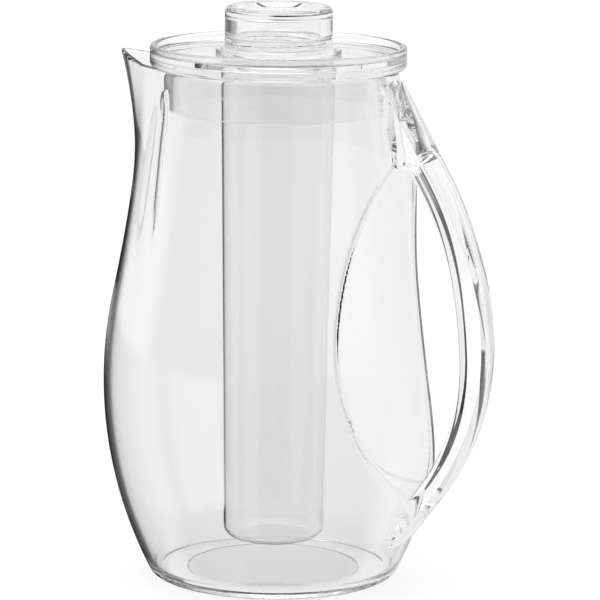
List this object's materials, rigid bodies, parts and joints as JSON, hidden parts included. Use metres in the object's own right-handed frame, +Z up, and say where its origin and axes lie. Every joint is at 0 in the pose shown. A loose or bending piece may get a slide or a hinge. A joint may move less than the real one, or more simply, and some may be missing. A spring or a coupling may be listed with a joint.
{
  "type": "pitcher with ice core",
  "caption": "Clear bulbous pitcher with a pouring spout, a looped bar handle, a drop-in lid and a lift-out closed tube for ice whose screw cap is the lid's knob.",
  "frame": {"origin": "on the pitcher's axis in the plane it stands on", "axes": "+Z up along the axis of body, lid, tube and cap; +X towards the handle, so the spout points along -X; +Y across"},
  "size_m": [0.1944, 0.1678, 0.28],
  "materials": {
    "clear_body": "polished clear acrylic, colourless",
    "clear_handle": "polished clear acrylic, solid bar",
    "clear_lid": "polished clear acrylic",
    "clear_tube": "clear acrylic, faintly grey in the thickness",
    "clear_seal": "translucent silicone",
    "clear_cap": "polished clear acrylic"
  },
  "bodies": {
    "pitcher": {"pitcher_body": "clear_body", "handle": "clear_handle"},
    "lid": {"lid": "clear_lid"},
    "ice core": {"ice_tube": "clear_tube"},
    "seal": {"cap_seal": "clear_seal"},
    "cap": {"screw_cap": "clear_cap"}
  },
  "joints": [
    {"name": "lid_lift", "type": "slide", "parent": "pitcher", "child": "lid", "axis": [0, 0, 1], "range_m": [0, 0.25]},
    {"name": "core_lift", "type": "slide", "parent": "lid", "child": "ice core", "axis": [0, 0, 1], "range_m": [0, 0.25]},
    {"name": "cap_rise", "type": "slide", "parent": "ice core", "child": "seal", "axis": [0, 0, 1], "range_m": [0, 0.006]},
    {"name": "cap_turn", "type": "hinge", "parent": "seal", "child": "cap", "pos_m": [0, 0, 0.2654], "axis": [0, 0, 1], "range_deg": [0, 720]}
  ],
  "couplings": [
    {"joint": "cap_turn", "follows": "cap_rise", "rad_per_m": 2094.4}
  ]
}
